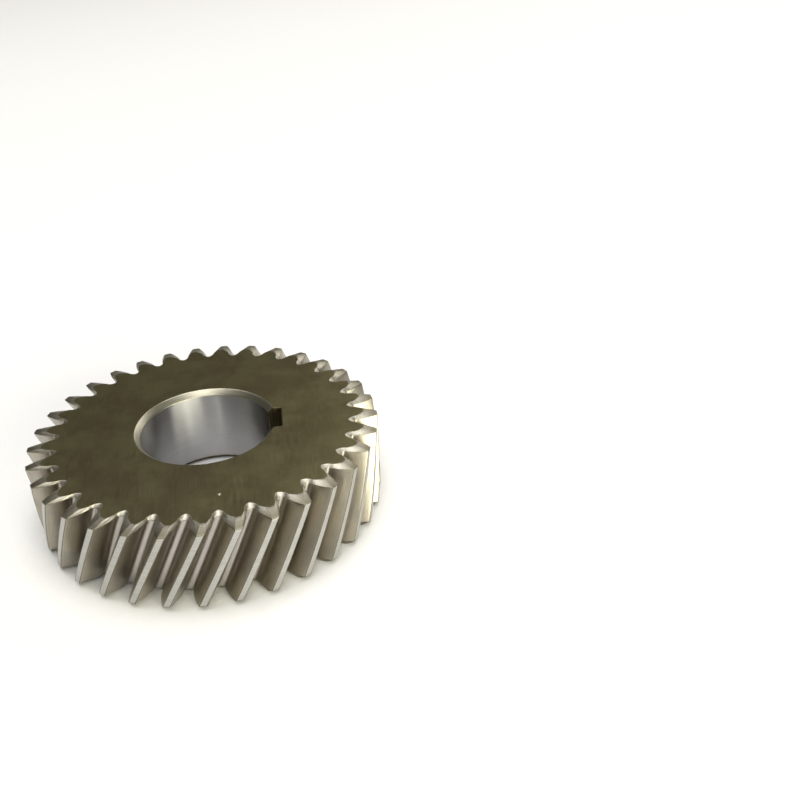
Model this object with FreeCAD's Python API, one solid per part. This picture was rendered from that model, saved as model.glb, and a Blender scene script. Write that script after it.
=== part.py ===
"""Helical gear: one piece of case-hardened steel with a keyed bore.

Frame: millimetres, +Z up along the bore axis.  The origin is where that axis meets the lower
end face, and +X runs through the middle of the keyway.  The helix is right-handed: seen from
above, a tooth turns anticlockwise as it rises.

The transverse tooth outline is an involute with a round root fillet.  It is swept along the
helix between two heights.  A bevel follows the whole outline at both ends: shallow and wide on
the upper face, steeper on the lower one, and widest at the tooth tips.  The bore, its chamfers
and the keyway are then cut from that blank.
"""

import math
import os
from collections import namedtuple

import FreeCAD
import Part

# Teeth
TEETH = 33
NORMAL_MODULE = 2.5
HELIX_ANGLE = math.radians(26.0)
NORMAL_PRESSURE_ANGLE = math.radians(17.5)
PROFILE_SHIFT = 0.3
ADDENDUM_FACTOR = 1.1
DEDENDUM_FACTOR = 1.6
ROOT_FILLET = 0.9

# Blank
FACE_WIDTH = 25.0

# Bevels: the height, and how far the outline on the end face lies inside the teeth at the
# root, at the foot of the flanks, at the top of the clockwise and the anticlockwise flank, and
# at the tip.  The nose is the share of the root's width that the valleys keep on the face.
Bevel = namedtuple("Bevel", "height root nose foot clockwise anticlockwise tip")
UPPER_BEVEL = Bevel(height=0.7, root=1.5, nose=0.3, foot=0.5, clockwise=2.0, anticlockwise=1.3, tip=3.6)
LOWER_BEVEL = Bevel(height=1.5, root=1.4, nose=1.0, foot=1.4, clockwise=1.4, anticlockwise=1.4, tip=2.2)
NO_BEVEL = Bevel(height=0.0, root=0.0, nose=1.0, foot=0.0, clockwise=0.0, anticlockwise=0.0, tip=0.0)

# Bore and keyway
BORE_DIAMETER = 37.0
BORE_CHAMFER = 1.5
KEYWAY_WIDTH = 10.0
KEYWAY_TO_FAR_WALL = 40.3
TOOTH_TO_KEYWAY_ANGLE = math.radians(-1.9)

# Worked out from them
TRANSVERSE_MODULE = NORMAL_MODULE / math.cos(HELIX_ANGLE)
PRESSURE_ANGLE = math.atan(math.tan(NORMAL_PRESSURE_ANGLE) / math.cos(HELIX_ANGLE))
PITCH_RADIUS = TEETH * TRANSVERSE_MODULE / 2
BASE_RADIUS = PITCH_RADIUS * math.cos(PRESSURE_ANGLE)
TIP_RADIUS = PITCH_RADIUS + NORMAL_MODULE * (ADDENDUM_FACTOR + PROFILE_SHIFT)
ROOT_RADIUS = PITCH_RADIUS - NORMAL_MODULE * (DEDENDUM_FACTOR - PROFILE_SHIFT)
LEAD = 2 * math.pi * PITCH_RADIUS / math.tan(HELIX_ANGLE)
TOOTH_PITCH = 2 * math.pi / TEETH
BORE_RADIUS = BORE_DIAMETER / 2

FLANK_POINTS = 9
HALVINGS = 50
SEWING_TOLERANCE = 0.005
OVERCUT = 1.0


def vector(x, y, z=0.0):
    return FreeCAD.Vector(x, y, z)


def polar(radius, angle):
    return vector(radius * math.cos(angle), radius * math.sin(angle))


def involute_of(angle):
    return math.tan(angle) - angle


def half_tooth_angle(radius):
    """Angle between a tooth's centre line and its flank, at a radius."""
    thickness = math.pi / 2 * TRANSVERSE_MODULE
    thickness += 2 * PROFILE_SHIFT * math.tan(NORMAL_PRESSURE_ANGLE) * TRANSVERSE_MODULE
    slope = math.acos(BASE_RADIUS / radius)
    return thickness / (2 * PITCH_RADIUS) + involute_of(PRESSURE_ANGLE) - involute_of(slope)


def flank_point(radius, shift):
    """A point of the flank at a radius, then moved out of the metal by a shift."""
    angle = half_tooth_angle(radius)
    slope = math.acos(BASE_RADIUS / radius)
    return polar(radius, angle) + polar(shift, angle + math.pi / 2 - slope)


def crossing(function, low, high):
    """The place between low and high where a rising function is zero."""
    for _ in range(HALVINGS):
        middle = (low + high) / 2
        if function(middle) > 0:
            high = middle
        else:
            low = middle
    return (low + high) / 2


def half_outline(bevel, flank_inset):
    """Root arc, fillet and flank on one side of a tooth, from the gap's middle to the tip.

    The tooth is centred on the X axis.  The outline is moved into the metal by the bevel's
    insets, with that of this flank's top given apart.  Each edge is a list of points; three
    points stand for an arc.  The fillet's arc runs smoothly into the flank.
    """
    root = ROOT_RADIUS - bevel.root
    foot = crossing(
        lambda r: flank_point(r, ROOT_FILLET).Length - ROOT_RADIUS - ROOT_FILLET,
        BASE_RADIUS,
        PITCH_RADIUS,
    )
    tip = TIP_RADIUS - bevel.tip
    head = crossing(lambda r: flank_point(r, -flank_inset).Length - tip, foot, TIP_RADIUS)

    centre = flank_point(foot, ROOT_FILLET)
    root_width = TOOTH_PITCH / 2 - math.atan2(centre.y, centre.x)
    start_angle = TOOTH_PITCH / 2 - root_width * bevel.nose
    fillet_start = polar(root, start_angle)
    fillet_end = flank_point(foot, -bevel.foot)
    chord = fillet_start - fillet_end
    slope = half_tooth_angle(foot) - math.acos(BASE_RADIUS / foot)
    bend = chord.getAngle(polar(-1, slope))
    bulge = vector(-chord.y, chord.x) * math.tan(bend / 2)
    fillet_middle = (fillet_start + fillet_end + bulge) / 2

    flank = []
    for step in range(FLANK_POINTS):
        share = step / (FLANK_POINTS - 1)
        inset = bevel.foot + (flank_inset - bevel.foot) * share
        flank.append(flank_point(foot + (head - foot) * share, -inset))
    root_start = polar(root, TOOTH_PITCH / 2)
    root_middle = polar(root, (TOOTH_PITCH / 2 + start_angle) / 2)
    return [
        [root_start, root_middle, fillet_start],
        [fillet_start, fillet_middle, fillet_end],
        flank,
    ]


def tooth_outline(bevel):
    """All edges of one tooth and of half the gap on each side, anticlockwise."""
    after = half_outline(bevel, bevel.anticlockwise)
    mirrored = half_outline(bevel, bevel.clockwise)
    before = [[vector(p.x, -p.y) for p in edge] for edge in mirrored]
    start = before[-1][-1]
    end = after[-1][-1]
    middle = (math.atan2(start.y, start.x) + math.atan2(end.y, end.x)) / 2
    tip = [start, polar(TIP_RADIUS - bevel.tip, middle), end]
    return before + [tip] + [edge[::-1] for edge in reversed(after)]


def tooth_angle(z):
    """Where the first tooth stands at a height, from the keyway's centre line."""
    return TOOTH_TO_KEYWAY_ANGLE + 2 * math.pi * (z - FACE_WIDTH) / LEAD


def ring_edges(z, bevel=NO_BEVEL):
    """The edges of the whole gear's outline at a height, tooth after tooth."""
    outline = tooth_outline(bevel)
    edges = []
    for tooth in range(TEETH):
        turn = FreeCAD.Rotation(vector(0, 0, 1), math.degrees(tooth_angle(z) + tooth * TOOTH_PITCH))
        for points in outline:
            placed = [turn.multVec(p) + vector(0, 0, z) for p in points]
            if len(placed) == 3:
                edges.append(Part.Arc(*placed).toShape())
            else:
                flank = Part.BSplineCurve()
                flank.interpolate(placed)
                edges.append(flank.toShape())
    return edges


def swept_teeth(low, high):
    """The tooth surfaces between two heights."""
    spine = Part.makeLine(vector(0, 0, low), vector(0, 0, high))
    helix = Part.makeHelix(LEAD, high - low, TIP_RADIUS)
    helix.translate(vector(0, 0, low))
    sweep = Part.BRepOffsetAPI.MakePipeShell(Part.Wire(spine))
    sweep.setAuxiliarySpine(Part.Wire(helix.Edges), True, 0)
    sweep.add(Part.Wire(ring_edges(low)))
    sweep.build()
    return sweep.shape().Faces


def bevelled_end(face_z, tooth_z, bevel):
    """The bevel between an end face and the swept teeth, and the end face itself."""
    face_edges = ring_edges(face_z, bevel)
    tooth_edges = ring_edges(tooth_z)
    bevels = [Part.makeRuledSurface(a, b) for a, b in zip(face_edges, tooth_edges)]
    return bevels + [Part.Face(Part.Wire(face_edges))]


def toothed_blank():
    low = LOWER_BEVEL.height
    high = FACE_WIDTH - UPPER_BEVEL.height
    faces = swept_teeth(low, high)
    faces += bevelled_end(0.0, low, LOWER_BEVEL)
    faces += bevelled_end(FACE_WIDTH, high, UPPER_BEVEL)
    skin = Part.makeCompound(faces)
    skin.sewShape(SEWING_TOLERANCE)
    blank = Part.makeSolid(skin.Shells[0])
    if blank.Volume < 0:
        blank.reverse()
    return blank


def bore_cutter():
    """The bore with a chamfer at both mouths, run past the end faces."""
    height = BORE_CHAMFER + OVERCUT
    wide = BORE_RADIUS + height
    cutter = Part.makeCylinder(BORE_RADIUS, FACE_WIDTH + 2 * OVERCUT, vector(0, 0, -OVERCUT))
    lower = Part.makeCone(wide, BORE_RADIUS, height, vector(0, 0, -OVERCUT))
    upper = Part.makeCone(BORE_RADIUS, wide, height, vector(0, 0, FACE_WIDTH - BORE_CHAMFER))
    return cutter.fuse([lower, upper])


def keyway_cutter():
    """A straight slot through the bore's wall, centred on +X."""
    depth = KEYWAY_TO_FAR_WALL - BORE_RADIUS
    corner = vector(0, -KEYWAY_WIDTH / 2, -OVERCUT)
    return Part.makeBox(depth, KEYWAY_WIDTH, FACE_WIDTH + 2 * OVERCUT, corner)


def helical_gear():
    return toothed_blank().cut(bore_cutter().fuse(keyway_cutter())).removeSplitter()


def main():
    os.makedirs("parts", exist_ok=True)
    gear = helical_gear()
    gear.exportStep("parts/helical_gear.step")
    print("valid", gear.isValid(), "solids", len(gear.Solids), "faces", len(gear.Faces))
    print("volume mm3", round(gear.Volume, 1), "box", gear.BoundBox)
    print("outside diameter", round(2 * TIP_RADIUS, 3), "root diameter", round(2 * ROOT_RADIUS, 3))


main()
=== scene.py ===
import math
from collections import namedtuple

import bmesh
import bpy
from mathutils import Matrix, Vector


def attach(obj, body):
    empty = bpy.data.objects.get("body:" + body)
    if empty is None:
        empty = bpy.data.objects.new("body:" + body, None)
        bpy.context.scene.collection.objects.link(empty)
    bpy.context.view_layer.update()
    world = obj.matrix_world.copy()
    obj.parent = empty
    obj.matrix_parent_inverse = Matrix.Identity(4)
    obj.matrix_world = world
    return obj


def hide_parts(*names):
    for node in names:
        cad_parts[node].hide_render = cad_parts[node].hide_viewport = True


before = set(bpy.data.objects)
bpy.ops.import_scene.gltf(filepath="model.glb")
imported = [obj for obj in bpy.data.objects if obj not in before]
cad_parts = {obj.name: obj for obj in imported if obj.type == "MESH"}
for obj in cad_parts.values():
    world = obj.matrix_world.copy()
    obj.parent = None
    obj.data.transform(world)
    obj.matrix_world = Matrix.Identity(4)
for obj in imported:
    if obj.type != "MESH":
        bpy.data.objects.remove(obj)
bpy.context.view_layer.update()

# The gear's lengths are in millimetres, in the CAD frame: +Z along the bore, +X through the
# keyway.  The mesh is scaled to metres once, when it is finished.
MM = 0.001

# Teeth, as in the design
TEETH = 33
NORMAL_MODULE = 2.5
HELIX_ANGLE = math.radians(26.0)
NORMAL_PRESSURE_ANGLE = math.radians(17.5)
PROFILE_SHIFT = 0.3
ADDENDUM_FACTOR = 1.1
DEDENDUM_FACTOR = 1.6
ROOT_FILLET = 0.9
FACE_WIDTH = 25.0
TOOTH_TO_KEYWAY_ANGLE = math.radians(-1.9)

# The height of each bevel, and how far the outline on the end face lies inside the teeth.  The
# nose is the share of the root's width that the valleys keep on the face.
Bevel = namedtuple("Bevel", "height root nose foot clockwise anticlockwise tip")
UPPER_BEVEL = Bevel(height=0.7, root=1.5, nose=0.3, foot=0.5, clockwise=2.0, anticlockwise=1.3, tip=3.6)
LOWER_BEVEL = Bevel(height=1.5, root=1.4, nose=1.0, foot=1.4, clockwise=1.4, anticlockwise=1.4, tip=2.2)
NO_BEVEL = Bevel(height=0.0, root=0.0, nose=1.0, foot=0.0, clockwise=0.0, anticlockwise=0.0, tip=0.0)

# Bore and keyway, as in the design
BORE_RADIUS = 18.5
BORE_CHAMFER = 1.5
KEYWAY_HALF_WIDTH = 5.0
KEYWAY_FLOOR = 21.8

# Broken edges, and the flat ring beside them that keeps the end faces' shading flat
TIP_CORNER = 0.16
BEVEL_ROUNDING = 0.16
BORE_ROUNDING = 0.15
KEYWAY_CORNER = 0.35
KEYWAY_MOUTH = 0.3
GUARD = 0.25

# Punch mark on the upper face: its place, and the radius and depth of each of its rings
PUNCH_PLACE = (4.8, -34.5)
PUNCH_PROFILE = ((0.65, 0.0), (0.45, 0.0), (0.38, 0.06), (0.12, 0.28))

# Worked out from them.  The twist is in radians for each millimetre of height.
TRANSVERSE_MODULE = NORMAL_MODULE / math.cos(HELIX_ANGLE)
PRESSURE_ANGLE = math.atan(math.tan(NORMAL_PRESSURE_ANGLE) / math.cos(HELIX_ANGLE))
PITCH_RADIUS = TEETH * TRANSVERSE_MODULE / 2
BASE_RADIUS = PITCH_RADIUS * math.cos(PRESSURE_ANGLE)
TIP_RADIUS = PITCH_RADIUS + NORMAL_MODULE * (ADDENDUM_FACTOR + PROFILE_SHIFT)
ROOT_RADIUS = PITCH_RADIUS - NORMAL_MODULE * (DEDENDUM_FACTOR - PROFILE_SHIFT)
TWIST = math.tan(HELIX_ANGLE) / PITCH_RADIUS
TOOTH_PITCH = 2 * math.pi / TEETH

# Points along each stretch of an outline, and layers up the teeth
ROOT_STEPS = 4
FILLET_STEPS = 6
FLANK_STEPS = 12
CORNER_STEPS = 3
TIP_STEPS = 4
TOOTH_LAYERS = 26
BORE_STEPS = 160
PUNCH_STEPS = 20
HALVINGS = 40
SHARP_ANGLE = math.radians(50)

# Slots of the gear's materials
FACE, BEVEL, FLANK, CREST, CHAMFER, BORE, KEYWAY = range(7)

# Floor, in metres
FLOOR_RADIUS = 2.5
FLOOR_SEGMENTS = 96

# Camera: its place and near limit in metres, the way it looks, and its lens in millimetres
CAMERA_PLACE = Vector((0.0274, -0.2224, 0.1633))
CAMERA_FORWARD = Vector((0.1051, 0.8458, -0.5231))
CAMERA_ROLL = math.radians(2.15)
CAMERA_LENS = 40.4
CAMERA_SHIFT = (0.006, 0.003)
CAMERA_NEAR = 0.01

# Soft lamps, in metres and watts, all turned towards the gear
Lamp = namedtuple("Lamp", "name place size power colour")
LAMPS = (
    Lamp("overhead", (-0.1, 0.2, 3.1), (2.6, 1.9), 90.0, (1.0, 0.99, 0.97)),
    Lamp("front_top", (0.1, -1.5, 2.6), (1.4, 0.8), 22.0, (1.0, 0.99, 0.96)),
    Lamp("window_back", (1.5, 2.1, 1.6), (1.9, 1.7), 30.0, (1.0, 0.97, 0.90)),
    Lamp("window_front", (1.2, -1.9, 0.6), (1.9, 1.0), 48.0, (1.0, 0.98, 0.78)),
)

# Narrow lamps low in front, whose reflections streak the upper part of the bore: the angle
# round the gear, in degrees, and the power
STRIPS = ((-31.0, 2.4), (-56.0, 3.2), (-110.0, 1.6))
STRIP_DISTANCE = 1.5
STRIP_HEIGHT = 0.65
STRIP_SIZE = (0.06, 0.5)
STRIP_COLOUR = (1.0, 0.97, 0.84)

# Surroundings: pale at the horizon, and darker from a height given as a share of straight up
HORIZON_COLOUR = (0.9, 0.9, 0.89, 1.0)
DARK_COLOUR = (0.085, 0.08, 0.066, 1.0)
DARK_HEIGHT = 0.13


def polar(radius, angle):
    return Vector((radius * math.cos(angle), radius * math.sin(angle)))


def angle_of(point):
    return math.atan2(point.y, point.x)


def between(a, b, share):
    return a + (b - a) * share


def rounded(before, corner, after, steps):
    """Points of a small curve that replaces a corner, its two ends included."""
    points = []
    for step in range(steps + 1):
        share = step / steps
        points.append(between(between(before, corner, share), between(corner, after, share), share))
    return points


def crossing(function, low, high):
    """The place between low and high where a rising function is zero."""
    for _ in range(HALVINGS):
        middle = (low + high) / 2
        if function(middle) > 0:
            high = middle
        else:
            low = middle
    return (low + high) / 2


# ---------------------------------------------------------------- tooth outline


def half_tooth_angle(radius):
    """Angle between a tooth's centre line and its flank, at a radius."""
    thickness = math.pi / 2 * TRANSVERSE_MODULE
    thickness += 2 * PROFILE_SHIFT * math.tan(NORMAL_PRESSURE_ANGLE) * TRANSVERSE_MODULE
    slope = math.acos(BASE_RADIUS / radius)
    involute = math.tan(slope) - slope
    pitch_involute = math.tan(PRESSURE_ANGLE) - PRESSURE_ANGLE
    return thickness / (2 * PITCH_RADIUS) + pitch_involute - involute


def flank_point(radius, shift):
    """A point of the flank at a radius, then moved out of the metal by a shift."""
    angle = half_tooth_angle(radius)
    slope = math.acos(BASE_RADIUS / radius)
    return polar(radius, angle) + polar(shift, angle + math.pi / 2 - slope)


# Where the root fillet meets the flank, and half the angle of the root between two fillets
FLANK_FOOT = crossing(
    lambda r: flank_point(r, ROOT_FILLET).length - ROOT_RADIUS - ROOT_FILLET,
    BASE_RADIUS,
    PITCH_RADIUS,
)
ROOT_WIDTH = TOOTH_PITCH / 2 - angle_of(flank_point(FLANK_FOOT, ROOT_FILLET))


def fillet_points(start, end):
    """Points of the arc from start that runs smoothly into the foot of the flank at end."""
    chord = start - end
    slope = half_tooth_angle(FLANK_FOOT) - math.acos(BASE_RADIUS / FLANK_FOOT)
    bend = chord.angle(polar(-1.0, slope))
    middle = (start + end) / 2
    inward = Vector((-chord.y, chord.x)).normalized()
    arm = chord.length / (2 * math.sin(bend))
    centre = middle - inward * arm * math.cos(bend)
    points = []
    for step in range(FILLET_STEPS):
        turn = bend * (1 - 2 * step / FILLET_STEPS)
        points.append(centre + Matrix.Rotation(-turn, 2) @ inward * arm)
    return points


def half_outline(insets, flank_inset):
    """Root, fillet, flank and tip corner on the anticlockwise side of a tooth on the X axis.

    Returns (point, zone) pairs from the middle of the gap up to the tip, whose zone is that
    of the stretch from this point to the next.
    """
    root = ROOT_RADIUS - insets.root
    tip = TIP_RADIUS - insets.tip
    start_angle = TOOTH_PITCH / 2 - ROOT_WIDTH * insets.nose
    points = []
    for step in range(ROOT_STEPS):
        angle = between(TOOTH_PITCH / 2, start_angle, step / ROOT_STEPS)
        points.append((polar(root, angle), FLANK))
    start = polar(root, start_angle)
    end = flank_point(FLANK_FOOT, -insets.foot)
    points += [(point, FLANK) for point in fillet_points(start, end)]

    head = crossing(lambda r: flank_point(r, -flank_inset).length - tip, FLANK_FOOT, TIP_RADIUS)
    for step in range(FLANK_STEPS):
        share = step / FLANK_STEPS
        inset = between(insets.foot, flank_inset, share)
        points.append((flank_point(between(FLANK_FOOT, head, share), -inset), FLANK))

    corner = flank_point(head, -flank_inset)
    before = between(corner, points[-1][0], TIP_CORNER / (corner - points[-1][0]).length)
    after = polar(tip, angle_of(corner) - TIP_CORNER / tip)
    points += [(point, BEVEL) for point in rounded(before, corner, after, CORNER_STEPS)[:-1]]
    points.append((after, CREST))
    return points


def tooth_outline(insets):
    """Points and zones of one tooth and half the gap on each side, anticlockwise.

    The middle of the far gap is left to the next tooth.
    """
    after = half_outline(insets, insets.anticlockwise)
    mirrored = half_outline(insets, insets.clockwise)
    before = [(Vector((point.x, -point.y)), zone) for point, zone in mirrored]
    start = angle_of(before[-1][0])
    end = angle_of(after[-1][0])
    tip = []
    for step in range(1, TIP_STEPS):
        tip.append((polar(TIP_RADIUS - insets.tip, between(start, end, step / TIP_STEPS)), CREST))
    back = [(after[i][0], after[i - 1][1]) for i in range(len(after) - 1, 0, -1)]
    return before + tip + back


def gear_loop(z, insets):
    """The whole gear's outline at a height: points, and the zone that follows each point."""
    outline = tooth_outline(insets)
    first = TOOTH_TO_KEYWAY_ANGLE + TWIST * (z - FACE_WIDTH)
    points = []
    zones = []
    for tooth in range(TEETH):
        turn = Matrix.Rotation(first + tooth * TOOTH_PITCH, 2)
        for point, zone in outline:
            placed = turn @ point
            points.append((placed.x, placed.y, z))
            zones.append(zone)
    return points, zones


def bevel_levels(bevel, face_z, inward):
    """Heights and insets from the teeth, over the bevel and its two round edges, to the face.

    inward is 1 at the lower face and -1 at the upper one.
    """
    share = BEVEL_ROUNDING / math.hypot(bevel.height, bevel.root)
    tooth_edge = face_z + inward * bevel.height
    below = Vector((tooth_edge + inward * BEVEL_ROUNDING, 0.0))
    lower = Vector((tooth_edge, 0.0))
    upper = Vector((face_z, 1.0))
    beyond = Vector((face_z, 1.0 + BEVEL_ROUNDING / bevel.root))
    guard = Vector((face_z, 1.0 + (BEVEL_ROUNDING + GUARD) / bevel.root))
    profile = rounded(below, lower, between(lower, upper, share), CORNER_STEPS)
    profile += rounded(between(upper, lower, share), upper, beyond, CORNER_STEPS)
    profile.append(guard)
    levels = []
    for z, depth in profile:
        insets = Bevel(*(between(none, full, depth) for none, full in zip(NO_BEVEL, bevel)))
        levels.append((z, insets))
    return levels


# ---------------------------------------------------------------- bore outline


def bore_loop(radius, widening, z):
    """The bore and keyway's outline at a height: points, and the zone after each point."""
    half_width = KEYWAY_HALF_WIDTH + widening
    floor = KEYWAY_FLOOR + widening
    mouth = Vector((math.sqrt(radius ** 2 - half_width ** 2), half_width))
    on_wall = mouth + Vector((KEYWAY_MOUTH, 0))
    on_bore = polar(radius, angle_of(mouth) + KEYWAY_MOUTH / radius)
    corner = Vector((floor, half_width))
    before = corner - Vector((KEYWAY_CORNER, 0))
    after = corner - Vector((0, KEYWAY_CORNER))

    upper = [Vector((floor, 0))]
    upper += rounded(after, corner, before, CORNER_STEPS)
    upper += rounded(on_wall, mouth, on_bore, CORNER_STEPS)[:-1]
    lower = [Vector((point.x, -point.y)) for point in reversed(upper[1:])]
    start = angle_of(on_bore)
    arc = []
    for step in range(BORE_STEPS + 1):
        arc.append(polar(radius, between(start, 2 * math.pi - start, step / BORE_STEPS)))
    points = [(point.x, point.y, z) for point in upper + arc + lower]
    zones = [KEYWAY] * len(upper) + [BORE] * BORE_STEPS + [KEYWAY] * (len(lower) + 1)
    return points, zones


def bore_levels():
    """Radius, keyway widening and height of each level, from the lower face up."""
    wide = BORE_RADIUS + BORE_CHAMFER
    small = BORE_ROUNDING
    slant = small / math.sqrt(2)
    face = rounded(
        Vector((wide + small, small, 0.0)),
        Vector((wide, 0.0, 0.0)),
        Vector((wide - slant, 0.0, slant)),
        CORNER_STEPS,
    )
    inner = rounded(
        Vector((BORE_RADIUS + slant, 0.0, BORE_CHAMFER - slant)),
        Vector((BORE_RADIUS, 0.0, BORE_CHAMFER)),
        Vector((BORE_RADIUS, 0.0, BORE_CHAMFER + small)),
        CORNER_STEPS,
    )
    guard = [Vector((wide + small + GUARD, small + GUARD, 0.0))]
    lower = guard + face + inner
    upper = [Vector((level.x, level.y, FACE_WIDTH - level.z)) for level in reversed(lower)]
    return lower + upper


# ---------------------------------------------------------------- the mesh


def add_loop(mesh, points):
    return [mesh.verts.new(point) for point in points]


def bridge(mesh, lower, upper, zones):
    """A band of quads between two loops, facing outwards when both run anticlockwise."""
    count = len(lower)
    for i in range(count):
        j = (i + 1) % count
        quad = mesh.faces.new((lower[i], lower[j], upper[j], upper[i]))
        quad.material_index = zones[i]


def tooth_skin(mesh):
    """The teeth with both bevels.  Returns the innermost loops on the lower and upper face."""
    lower = bevel_levels(LOWER_BEVEL, 0.0, 1)[::-1]
    upper = bevel_levels(UPPER_BEVEL, FACE_WIDTH, -1)
    low = lower[-1][0]
    high = upper[0][0]
    levels = lower
    for layer in range(1, TOOTH_LAYERS):
        levels.append((between(low, high, layer / TOOTH_LAYERS), NO_BEVEL))
    levels += upper
    outlines = [gear_loop(z, insets) for z, insets in levels]
    loops = [add_loop(mesh, points) for points, _ in outlines]

    own_zones = outlines[0][1]
    face = [FACE] * len(own_zones)
    bevels = [[BEVEL] * len(own_zones)] * (len(upper) - 2)
    bands = [face] + bevels + [own_zones] * TOOTH_LAYERS + bevels + [face]
    for below, above, zones in zip(loops, loops[1:], bands):
        bridge(mesh, below, above, zones)
    return loops[0], loops[-1]


def bore_skin(mesh):
    """Bore, chamfers and keyway.  Returns the outermost loops on the lower and upper face."""
    outlines = [bore_loop(*level) for level in bore_levels()]
    loops = [add_loop(mesh, points) for points, _ in outlines]

    own_zones = outlines[0][1]
    face = [FACE] * len(own_zones)
    chamfer = [CHAMFER if zone == BORE else zone for zone in own_zones]
    chamfers = [chamfer] * (len(loops) // 2 - 2)
    bands = [face] + chamfers + [own_zones] + chamfers + [face]
    for below, above, zones in zip(loops, loops[1:], bands):
        bridge(mesh, above, below, zones)
    return loops[0], loops[-1]


def punch_mark(mesh):
    """A small conical dimple.  Returns its rim, which lies on the flat face around it."""
    rings = []
    for radius, depth in PUNCH_PROFILE:
        points = []
        for step in range(PUNCH_STEPS):
            offset = Vector(PUNCH_PLACE) + polar(radius, 2 * math.pi * step / PUNCH_STEPS)
            points.append((offset.x, offset.y, FACE_WIDTH - depth))
        rings.append(add_loop(mesh, points))
    bridge(mesh, rings[0], rings[1], [FACE] * PUNCH_STEPS)
    for outer, inner in zip(rings[1:], rings[2:]):
        bridge(mesh, outer, inner, [BEVEL] * PUNCH_STEPS)
    mesh.faces.new(rings[-1]).material_index = BEVEL
    return rings[0]


def fill_face(mesh, rims, up):
    """A flat face between its rims, facing up for 1 and down for -1."""
    edges = []
    for rim in rims:
        edges += [mesh.edges.get(pair) for pair in zip(rim, rim[1:] + rim[:1])]
    made = bmesh.ops.triangle_fill(mesh, use_beauty=True, use_dissolve=False, edges=edges)
    for item in made["geom"]:
        if isinstance(item, bmesh.types.BMFace):
            item.material_index = FACE
            item.normal_update()
            if item.normal.z * up < 0:
                item.normal_flip()


def gear_mesh():
    mesh = bmesh.new()
    outer_low, outer_high = tooth_skin(mesh)
    inner_low, inner_high = bore_skin(mesh)
    punch = punch_mark(mesh)
    fill_face(mesh, [outer_low, inner_low], -1)
    fill_face(mesh, [outer_high, inner_high, punch], 1)
    bmesh.ops.scale(mesh, vec=(MM, MM, MM), verts=mesh.verts)
    for face in mesh.faces:
        face.smooth = True
    data = bpy.data.meshes.new("gear_mesh")
    mesh.to_mesh(data)
    mesh.free()
    return data


# ---------------------------------------------------------------- materials

# Nearly all of a noise texture's values lie in this range
NOISE_LOW = 0.3
NOISE_HIGH = 0.7


class Material:
    """A material, metal unless told otherwise, and short ways to add nodes to it."""

    def __init__(self, name, metallic=1.0):
        self.data = bpy.data.materials.new(name)
        self.data.use_nodes = True
        self.tree = self.data.node_tree
        self.shader = self.tree.nodes["Principled BSDF"]
        self.set("Metallic", metallic)

    def node(self, kind, **settings):
        made = self.tree.nodes.new(kind)
        for name, value in settings.items():
            setattr(made, name, value)
        return made

    def join(self, value, target):
        """Links a node's output to a target socket, or sets the target to a number or colour."""
        if isinstance(value, bpy.types.NodeSocket):
            self.tree.links.new(value, target)
        elif target.type == "RGBA":
            target.default_value = (*value, 1.0)
        else:
            target.default_value = value

    def feed(self, node, socket, value):
        self.join(value, node.inputs[socket])

    def set(self, socket, value):
        self.feed(self.shader, socket, value)

    def place(self):
        """The position in millimetres."""
        made = self.node("ShaderNodeVectorMath", operation="SCALE")
        self.feed(made, 0, self.node("ShaderNodeTexCoord").outputs["Object"])
        self.feed(made, "Scale", 1 / MM)
        return made.outputs[0]

    def untwisted(self):
        """The position in millimetres, turned back along the helix, so that it changes only in
        height from one end of a tooth to the other."""
        place = self.place()
        parts = self.node("ShaderNodeSeparateXYZ")
        self.feed(parts, 0, place)
        angle = self.node("ShaderNodeMath", operation="MULTIPLY")
        self.feed(angle, 0, parts.outputs["Z"])
        self.feed(angle, 1, -TWIST)
        made = self.node("ShaderNodeVectorRotate", rotation_type="Z_AXIS")
        self.feed(made, "Vector", place)
        self.feed(made, "Angle", angle.outputs[0])
        return made.outputs[0]

    def radius(self):
        """The distance from the bore's axis in millimetres."""
        made = self.node("ShaderNodeVectorMath", operation="LENGTH")
        self.feed(made, 0, self.stretch(self.place(), (1.0, 1.0, 0.0)))
        return made.outputs["Value"]

    def stretch(self, vector, scale):
        made = self.node("ShaderNodeVectorMath", operation="MULTIPLY")
        self.feed(made, 0, vector)
        self.feed(made, 1, scale)
        return made.outputs[0]

    def noise(self, vector, scale, detail, roughness):
        made = self.node("ShaderNodeTexNoise")
        self.feed(made, "Vector", vector)
        self.feed(made, "Scale", scale)
        self.feed(made, "Detail", detail)
        self.feed(made, "Roughness", roughness)
        return made.outputs[0]

    def lines(self, vector, density, detail, roughness):
        """A noise drawn out into lines, with its own density along each axis."""
        return self.noise(self.stretch(vector, density), 1.0, detail, roughness)

    def spread(self, value, from_low, from_high, to_low, to_high):
        made = self.node("ShaderNodeMapRange")
        for socket, number in enumerate((value, from_low, from_high, to_low, to_high)):
            self.feed(made, socket, number)
        return made.outputs[0]

    def mix(self, share, a, b):
        made = self.node("ShaderNodeMix", data_type="RGBA")
        self.feed(made, "Factor", share)
        colours = [socket for socket in made.inputs if socket.type == "RGBA"]
        for colour, socket in zip((a, b), colours):
            self.join(colour, socket)
        return next(socket for socket in made.outputs if socket.type == "RGBA")

    def blend(self, pattern, low, high, a, b, most=1.0):
        """Colour a where a pattern is under low, and b where it is over high, by a share of most."""
        return self.mix(self.spread(pattern, low, high, 0.0, most), a, b)

    def roughness(self, pattern, smooth, rough):
        self.set("Roughness", self.spread(pattern, NOISE_LOW, NOISE_HIGH, smooth, rough))

    def bump(self, height, distance):
        """Relief whose height runs from 0 to 1, over a distance in millimetres."""
        made = self.node("ShaderNodeBump")
        self.feed(made, "Distance", distance * MM)
        self.feed(made, "Height", height)
        self.set("Normal", made.outputs[0])


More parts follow.
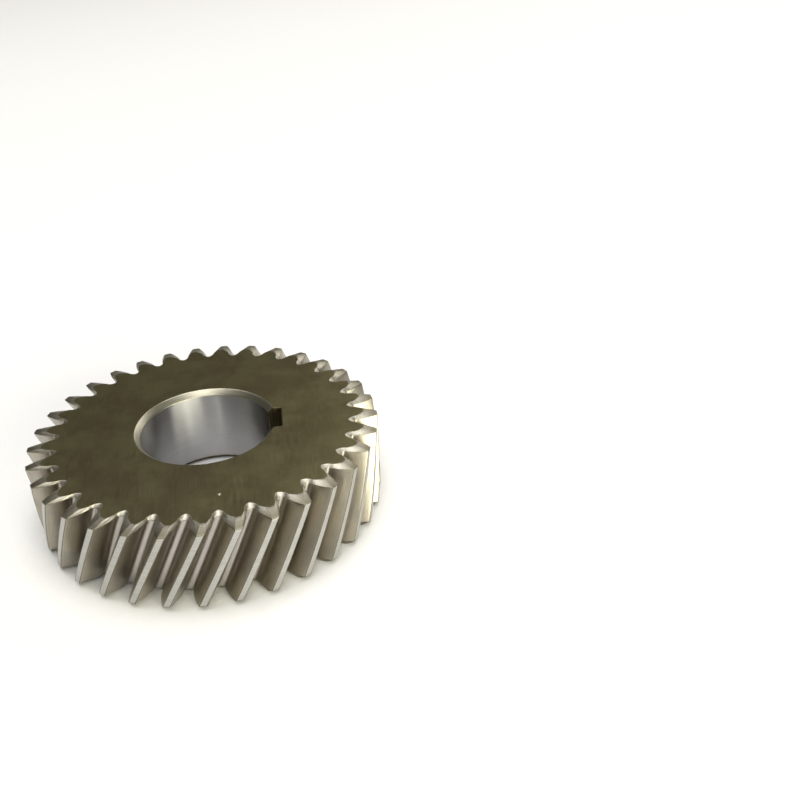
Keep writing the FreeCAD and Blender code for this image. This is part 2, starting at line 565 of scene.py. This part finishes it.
def ground_face():
    """End faces: ground flat, with a dark olive film of oil that has dried unevenly."""
    thick_film = (0.17, 0.145, 0.082)
    thin_film = (0.222, 0.204, 0.108)
    scratch = (0.30, 0.275, 0.165)
    speck = (0.09, 0.08, 0.045)
    glare = (0.2, 0.2, 0.26)

    metal = Material("ground_face")
    film_and_shade = metal.noise(metal.place(), 0.09, 4.0, 0.6)
    lines = metal.lines(metal.place(), (7.0, 0.12, 1.0), 4.0, 0.7)
    specks = metal.noise(metal.place(), 3.0, 2.0, 0.5)
    tone = metal.blend(film_and_shade, 0.4, 0.6, thick_film, thin_film)
    tone = metal.blend(lines, 0.4, 0.7, tone, scratch, most=0.35)
    tone = metal.blend(specks, 0.62, 0.75, tone, speck, most=0.4)
    metal.set("Base Color", tone)
    metal.set("Specular Tint", glare)
    metal.roughness(lines, 0.33, 0.45)
    metal.bump(lines, 0.006)
    return metal.data


def bevel_metal():
    """Deburred bevels: bare and slightly rough, with painted shade in a film colour towards the tooth
    tips.
    """
    dull = (0.26, 0.245, 0.205)
    bright = (0.43, 0.41, 0.35)
    film_and_shade = (0.14, 0.127, 0.088)

    metal = Material("bevel_metal")
    grit = metal.noise(metal.place(), 2.2, 5.0, 0.65)
    tone = metal.blend(grit, 0.35, 0.68, dull, bright)
    # Painted shade: a dark film colour towards the tooth tips stands in for their darker reflections
    tone = metal.blend(metal.radius(), PITCH_RADIUS - 1.0, TIP_RADIUS - 1.0, tone, film_and_shade, most=0.85)
    metal.set("Base Color", tone)
    metal.roughness(grit, 0.38, 0.52)
    metal.bump(grit, 0.02)
    return metal.data


def tooth_flank():
    """Flanks and roots: fine lines along the tooth, painted shade towards the root, and a lighter root
    bottom.
    """
    dull = (0.37, 0.345, 0.30)
    bright = (0.45, 0.41, 0.33)
    line = (0.25, 0.225, 0.18)
    painted_root_shade = (0.16, 0.138, 0.10)
    plain_root_band = (0.52, 0.49, 0.47)

    metal = Material("tooth_flank")
    lines = metal.lines(metal.untwisted(), (5.0, 5.0, 0.15), 4.0, 0.65)
    patches = metal.noise(metal.place(), 0.14, 3.0, 0.5)
    # Painted shade: the flanks darken towards the root, where the next tooth shades them
    depth = metal.spread(metal.radius(), ROOT_RADIUS, PITCH_RADIUS, 0.55, 0.0)
    # A lighter, plain steel colour along the very bottom of each root, laid over the painted shade
    bottom = metal.spread(metal.radius(), ROOT_RADIUS + 0.1, ROOT_RADIUS + 0.45, 0.8, 0.0)
    tone = metal.blend(patches, 0.35, 0.65, dull, bright)
    tone = metal.blend(lines, 0.45, 0.72, tone, line, most=0.45)
    tone = metal.mix(depth, tone, painted_root_shade)
    tone = metal.mix(bottom, tone, plain_root_band)
    metal.set("Base Color", tone)
    metal.roughness(lines, 0.28, 0.42)
    metal.bump(lines, 0.01)
    return metal.data


def tooth_crest():
    """Tooth tips: turned before the teeth were cut, so the marks run round the gear."""
    dull = (0.39, 0.385, 0.36)
    bright = (0.52, 0.515, 0.485)

    metal = Material("tooth_crest")
    lines = metal.lines(metal.place(), (0.12, 0.12, 4.5), 4.0, 0.7)
    metal.set("Base Color", metal.blend(lines, 0.35, 0.68, dull, bright))
    metal.roughness(lines, 0.32, 0.46)
    metal.bump(lines, 0.008)
    return metal.data


def turned_chamfer():
    """Bore chamfers: bright, with fine turned rings."""
    dull = (0.30, 0.285, 0.225)
    bright = (0.41, 0.39, 0.32)

    metal = Material("turned_chamfer")
    rings = metal.lines(metal.place(), (0.1, 0.1, 6.0), 3.0, 0.6)
    metal.set("Base Color", metal.blend(rings, 0.35, 0.65, dull, bright))
    metal.roughness(rings, 0.32, 0.42)
    metal.bump(rings, 0.005)
    return metal.data


def honed_bore():
    """The bore: ground smooth, with rings so fine that they only draw out the reflections."""
    dull = (0.38, 0.378, 0.38)
    bright = (0.46, 0.46, 0.462)
    stain = (0.38, 0.35, 0.30)
    glare = (0.1, 0.1, 0.09)

    metal = Material("honed_bore")
    rings = metal.lines(metal.place(), (0.05, 0.05, 7.0), 4.0, 0.7)
    stains = metal.noise(metal.place(), 0.25, 3.0, 0.6)
    tone = metal.blend(rings, 0.35, 0.7, dull, bright)
    tone = metal.blend(stains, 0.55, 0.75, tone, stain, most=0.35)
    metal.set("Base Color", tone)
    metal.set("Specular Tint", glare)
    metal.roughness(rings, 0.34, 0.40)
    metal.set("Anisotropic", 0.97)
    metal.set("Anisotropic Rotation", 0.25)
    metal.set("Tangent", metal.node("ShaderNodeTangent", direction_type="RADIAL", axis="Z").outputs[0])
    return metal.data


def broached_keyway():
    """The keyway: broached lengthwise, dark with oil."""
    dark = (0.06, 0.05, 0.025)
    light = (0.13, 0.11, 0.06)

    metal = Material("broached_keyway")
    lines = metal.lines(metal.place(), (3.5, 3.5, 0.08), 4.0, 0.65)
    metal.set("Base Color", metal.blend(lines, 0.35, 0.68, dark, light))
    metal.roughness(lines, 0.36, 0.5)
    metal.bump(lines, 0.015)
    return metal.data


def paper_floor():
    """The floor: plain pale paper with a faint grain."""
    paper = Material("paper_floor", metallic=0.0)
    grain = paper.noise(paper.place(), 0.8, 3.0, 0.5)
    paper.set("Base Color", paper.mix(grain, (0.73, 0.73, 0.735), (0.77, 0.77, 0.775)))
    paper.set("Roughness", 0.75)
    return paper.data


# ---------------------------------------------------------------- pieces and studio


def make_gear():
    data = gear_mesh()
    gear = bpy.data.objects.new("gear", data)
    bpy.context.collection.objects.link(gear)
    makers = {
        FACE: ground_face,
        BEVEL: bevel_metal,
        FLANK: tooth_flank,
        CREST: tooth_crest,
        CHAMFER: turned_chamfer,
        BORE: honed_bore,
        KEYWAY: broached_keyway,
    }
    for zone in sorted(makers):
        data.materials.append(makers[zone]())
    data.set_sharp_from_angle(angle=SHARP_ANGLE)
    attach(gear, "root")
    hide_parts("helical_gear")


def make_floor():
    mesh = bmesh.new()
    bmesh.ops.create_circle(mesh, cap_ends=True, radius=FLOOR_RADIUS, segments=FLOOR_SEGMENTS)
    data = bpy.data.meshes.new("floor_mesh")
    mesh.to_mesh(data)
    mesh.free()
    floor = bpy.data.objects.new("floor", data)
    bpy.context.collection.objects.link(floor)
    data.materials.append(paper_floor())


def make_camera():
    camera = bpy.data.objects.new("camera", bpy.data.cameras.new("camera"))
    bpy.context.collection.objects.link(camera)
    roll = Matrix.Rotation(-CAMERA_ROLL, 3, "Z").to_quaternion()
    camera.rotation_mode = "QUATERNION"
    camera.rotation_quaternion = CAMERA_FORWARD.to_track_quat("-Z", "Y") @ roll
    camera.location = CAMERA_PLACE
    camera.data.lens = CAMERA_LENS
    camera.data.shift_x, camera.data.shift_y = CAMERA_SHIFT
    camera.data.clip_start = CAMERA_NEAR
    bpy.context.scene.camera = camera


def area_light(name, place, size, power, colour):
    """A soft lamp that points at the gear's origin."""
    data = bpy.data.lights.new(name, "AREA")
    data.shape = "RECTANGLE"
    data.size, data.size_y = size
    data.energy = power
    data.color = colour
    light = bpy.data.objects.new(name, data)
    light.location = place
    light.rotation_mode = "QUATERNION"
    light.rotation_quaternion = (-Vector(place)).to_track_quat("-Z", "Y")
    bpy.context.collection.objects.link(light)


def make_lights():
    for lamp in LAMPS:
        area_light(*lamp)
    for number, (turn, power) in enumerate(STRIPS):
        across = polar(STRIP_DISTANCE, math.radians(turn))
        place = (across.x, across.y, STRIP_HEIGHT)
        area_light(f"strip_{number}", place, STRIP_SIZE, power, STRIP_COLOUR)


def make_world():
    """Surroundings that meet the pale floor at the horizon and are dark above."""
    world = bpy.data.worlds.new("studio")
    bpy.context.scene.world = world
    world.use_nodes = True
    tree = world.node_tree
    place = tree.nodes.new("ShaderNodeTexCoord")
    parts = tree.nodes.new("ShaderNodeSeparateXYZ")
    ramp = tree.nodes.new("ShaderNodeValToRGB")
    tree.links.new(place.outputs["Generated"], parts.inputs[0])
    tree.links.new(parts.outputs["Z"], ramp.inputs[0])
    tree.links.new(ramp.outputs[0], tree.nodes["Background"].inputs["Color"])
    horizon, dark = ramp.color_ramp.elements
    horizon.position = 0.0
    horizon.color = HORIZON_COLOUR
    dark.position = DARK_HEIGHT
    dark.color = DARK_COLOUR
    bpy.context.scene.view_settings.view_transform = "Standard"


make_gear()
make_floor()
make_camera()
make_lights()
make_world()
